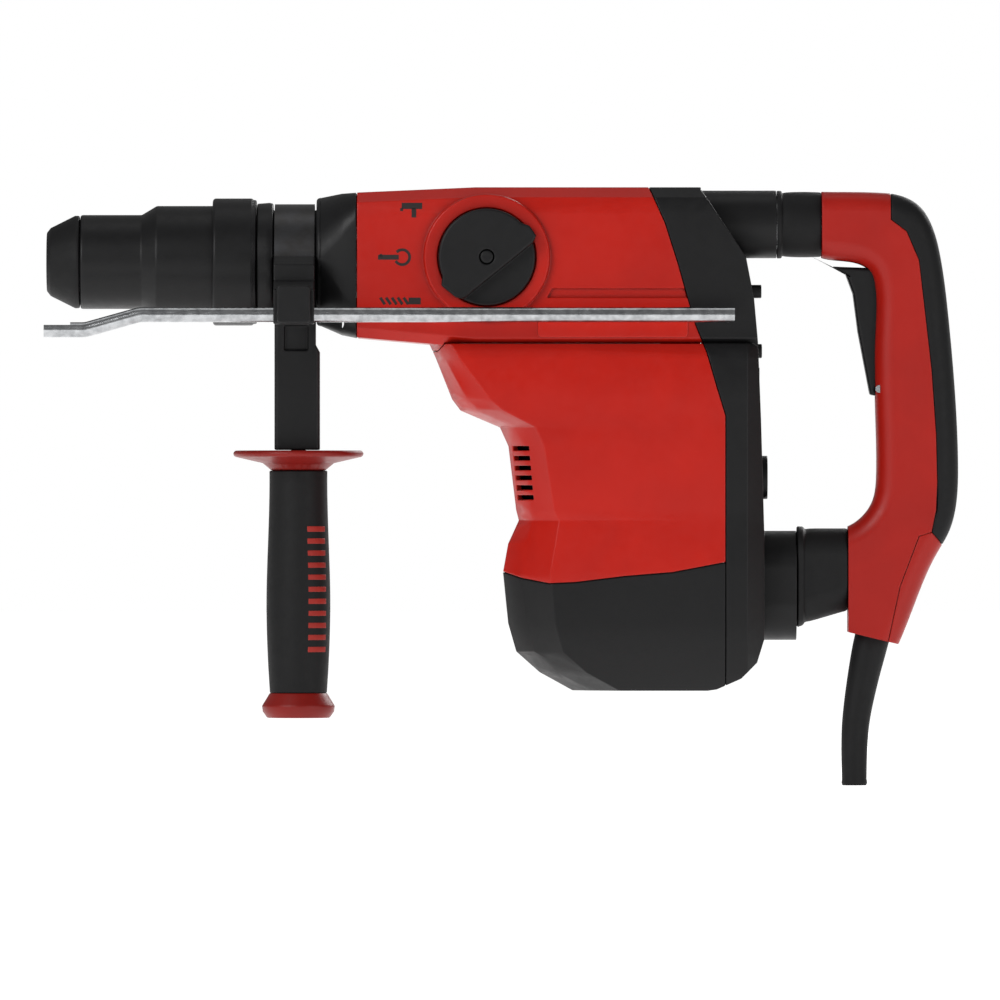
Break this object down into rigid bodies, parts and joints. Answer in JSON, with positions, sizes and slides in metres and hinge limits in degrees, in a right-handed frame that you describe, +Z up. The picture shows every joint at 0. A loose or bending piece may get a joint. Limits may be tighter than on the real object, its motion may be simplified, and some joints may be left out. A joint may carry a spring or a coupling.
{
  "type": "demolition hammer",
  "caption": "Rotary demolition hammer with an upright motor, sprung rear D handle, side handle with depth rod, mode knob and sliding chuck sleeve.",
  "frame": {"origin": "middle of the tool socket's mouth, on the hammer axis", "axes": "+X back along the hammer axis towards the rear handle, +Z up, away from the motor; the selector knob is on the -Y side"},
  "size_m": [0.4845, 0.1236, 0.3182],
  "materials": {
    "tool_spindle": "oiled",
    "dust_cap": "soft touch",
    "hammer_cylinder": "machined",
    "spindle_gear": "machined",
    "lock_sleeve": "fine grain",
    "lock_roller_upper": "polished",
    "lock_roller_lower": "polished",
    "sleeve_spring": "polished",
    "beat_piece": "oiled",
    "striker": "oiled",
    "piston": "as cast",
    "wrist_pin": "polished",
    "conrod": "as cast",
    "crank_pin": "polished",
    "crankshaft": "machined",
    "crank_gear": "machined",
    "drive_shaft": "machined",
    "drive_gear": "machined",
    "clutch_sleeve": "machined",
    "shift_plate": "polished",
    "mode_knob": "satin",
    "knob_button": "fine grain",
    "armature_shaft": "machined",
    "armature_core": "oiled",
    "commutator": "wound wire",
    "cooling_fan": "fine grain",
    "nose_ring": "fine grain",
    "front_housing": "fine grain",
    "gear_case": "as cast",
    "gear_hood": "fine grain",
    "motor_housing": "fine grain",
    "bottom_cap": "fine grain",
    "rear_cover": "fine grain",
    "stator": "oiled",
    "field_coils": "wound wire",
    "carbon_brushes": "pressed carbon",
    "brush_holders": "drawn",
    "shaft_bearings": "polished",
    "speed_module": "fine grain",
    "case_screws": "oiled",
    "damper_spring": "polished",
    "upper_bellows": "soft touch",
    "lower_bellows": "soft touch",
    "handle_front_shell": "fine grain",
    "handle_rear_shell": "fine grain",
    "handle_pad": "soft touch",
    "handle_screws": "oiled",
    "damper_plunger": "polished",
    "handle_pins": "polished",
    "power_switch": "fine grain",
    "cord_guard": "soft touch",
    "trigger": "fine grain",
    "handle_strap": "polished",
    "handle_arm": "fine grain",
    "clamp_bolt": "polished",
    "depth_clamp": "fine grain",
    "depth_button": "fine grain",
    "depth_rod": "polished",
    "grip_core": "fine grain",
    "grip_sleeve": "soft touch"
  },
  "bodies": {
    "main": {"nose_ring": "nose_ring", "front_housing": "front_housing", "gear_case": "gear_case", "gear_hood": "gear_hood", "motor_housing": "motor_housing", "bottom_cap": "bottom_cap", "rear_cover": "rear_cover", "stator": "stator", "field_coils": "field_coils", "carbon_brushes": "carbon_brushes", "brush_holders": "brush_holders", "shaft_bearings": "shaft_bearings", "speed_module": "speed_module", "case_screws": "case_screws", "sleeve_spring": "sleeve_spring", "damper_spring": "damper_spring", "upper_bellows": "upper_bellows", "lower_bellows": "lower_bellows"},
    "spindle": {"tool_spindle": "tool_spindle", "dust_cap": "dust_cap", "hammer_cylinder": "hammer_cylinder", "spindle_gear": "spindle_gear"},
    "sleeve": {"lock_sleeve": "lock_sleeve"},
    "roller_upper": {"lock_roller_upper": "lock_roller_upper"},
    "roller_lower": {"lock_roller_lower": "lock_roller_lower"},
    "anvil": {"beat_piece": "beat_piece"},
    "ram": {"striker": "striker"},
    "piston": {"piston": "piston", "wrist_pin": "wrist_pin"},
    "rod": {"conrod": "conrod", "crank_pin": "crank_pin"},
    "crank": {"crankshaft": "crankshaft", "crank_gear": "crank_gear"},
    "drive": {"drive_shaft": "drive_shaft", "drive_gear": "drive_gear"},
    "armature": {"armature_shaft": "armature_shaft", "armature_core": "armature_core", "commutator": "commutator", "cooling_fan": "cooling_fan"},
    "clutch": {"clutch_sleeve": "clutch_sleeve", "shift_plate": "shift_plate"},
    "selector": {"mode_knob": "mode_knob"},
    "button": {"knob_button": "knob_button"},
    "rear_handle": {"handle_front_shell": "handle_front_shell", "handle_rear_shell": "handle_rear_shell", "handle_pad": "handle_pad", "handle_screws": "handle_screws", "damper_plunger": "damper_plunger", "handle_pins": "handle_pins", "power_switch": "power_switch", "cord_guard": "cord_guard"},
    "trigger": {"trigger": "trigger"},
    "side_handle": {"handle_strap": "handle_strap", "handle_arm": "handle_arm", "clamp_bolt": "clamp_bolt", "depth_clamp": "depth_clamp"},
    "grip": {"grip_core": "grip_core", "grip_sleeve": "grip_sleeve"},
    "depth_stop": {"depth_rod": "depth_rod"},
    "depth_release": {"depth_button": "depth_button"}
  },
  "joints": [
    {"name": "armature_spin", "type": "hinge", "parent": "main", "child": "armature", "pos_m": [0.307, 0, -0.1], "axis": [0, 0, 1], "continuous": true},
    {"name": "crank_spin", "type": "hinge", "parent": "main", "child": "crank", "pos_m": [0.272, 0, -0.05], "axis": [0, 0, 1], "continuous": true},
    {"name": "drive_spin", "type": "hinge", "parent": "main", "child": "drive", "pos_m": [0.242, 0, -0.045], "axis": [0, 0, 1], "continuous": true},
    {"name": "spindle_spin", "type": "hinge", "parent": "main", "child": "spindle", "pos_m": [0.1, 0, 0], "axis": [1, 0, 0], "continuous": true},
    {"name": "sleeve_slide", "type": "slide", "parent": "main", "child": "sleeve", "axis": [1, 0, 0], "range_m": [0, 0.009], "stiffness_N_per_m": 900, "springref_m": -0.004, "deforming": ["sleeve_spring"]},
    {"name": "roller_upper_slide", "type": "slide", "parent": "spindle", "child": "roller_upper", "axis": [0, 0, 1], "range_m": [0, 0.002]},
    {"name": "roller_lower_slide", "type": "slide", "parent": "spindle", "child": "roller_lower", "axis": [0, 0, -1], "range_m": [0, 0.002]},
    {"name": "anvil_slide", "type": "slide", "parent": "spindle", "child": "anvil", "axis": [1, 0, 0], "range_m": [-0.004, 0.004]},
    {"name": "striker_slide", "type": "slide", "parent": "spindle", "child": "ram", "axis": [1, 0, 0], "range_m": [-0.01, 0.006]},
    {"name": "piston_slide", "type": "slide", "parent": "main", "child": "piston", "axis": [1, 0, 0], "range_m": [-0.024, 0]},
    {"name": "rod_swing", "type": "hinge", "parent": "piston", "child": "rod", "pos_m": [0.226, 0, 0], "axis": [0, 0, 1], "range_deg": [-12, 12]},
    {"name": "mode_turn", "type": "hinge", "parent": "main", "child": "selector", "pos_m": [0.234, -0.045, 0.002], "axis": [0, -1, 0], "range_deg": [0, 90]},
    {"name": "clutch_shift", "type": "slide", "parent": "main", "child": "clutch", "axis": [1, 0, 0], "range_m": [0, 0.00707]},
    {"name": "button_press", "type": "slide", "parent": "selector", "child": "button", "axis": [0, 1, 0], "range_m": [0, 0.0008], "stiffness_N_per_m": 400},
    {"name": "handle_pivot", "type": "hinge", "parent": "main", "child": "rear_handle", "pos_m": [0.41, 0, -0.164], "axis": [0, 1, 0], "range_deg": [-2.5, 0], "stiffness_Nm_per_rad": 800, "springref_deg": 1.72, "deforming": ["damper_spring", "upper_bellows", "lower_bellows"]},
    {"name": "trigger_pull", "type": "hinge", "parent": "rear_handle", "child": "trigger", "pos_m": [0.4424, 0, -0.0676], "axis": [0, 1, 0], "range_deg": [0, 7], "stiffness_Nm_per_rad": 2, "springref_deg": -2.86},
    {"name": "side_handle_turn", "type": "hinge", "parent": "main", "child": "side_handle", "pos_m": [0.132, 0, 0], "axis": [1, 0, 0], "range_deg": [-200, 0]},
    {"name": "grip_twist", "type": "hinge", "parent": "side_handle", "child": "grip", "pos_m": [0.13375, 0, -0.17], "axis": [0, 0, 1], "range_deg": [0, 360]},
    {"name": "depth_stop_slide", "type": "slide", "parent": "side_handle", "child": "depth_stop", "axis": [1, 0, 0], "range_m": [-0.12, 0.04]},
    {"name": "depth_release_press", "type": "slide", "parent": "side_handle", "child": "depth_release", "axis": [0, 1, 0], "range_m": [0, 0.0015], "stiffness_N_per_m": 500}
  ],
  "couplings": [
    {"joint": "crank_spin", "follows": "armature_spin", "ratio": -0.16667},
    {"joint": "drive_spin", "follows": "armature_spin", "ratio": 0.071429},
    {"joint": "spindle_spin", "follows": "armature_spin", "ratio": -0.02381},
    {"joint": "roller_upper_slide", "follows": "sleeve_slide", "ratio": 0.2222},
    {"joint": "roller_lower_slide", "follows": "sleeve_slide", "ratio": 0.2222},
    {"joint": "mode_turn", "follows": "clutch_shift", "rad_per_m": 222.22}
  ]
}
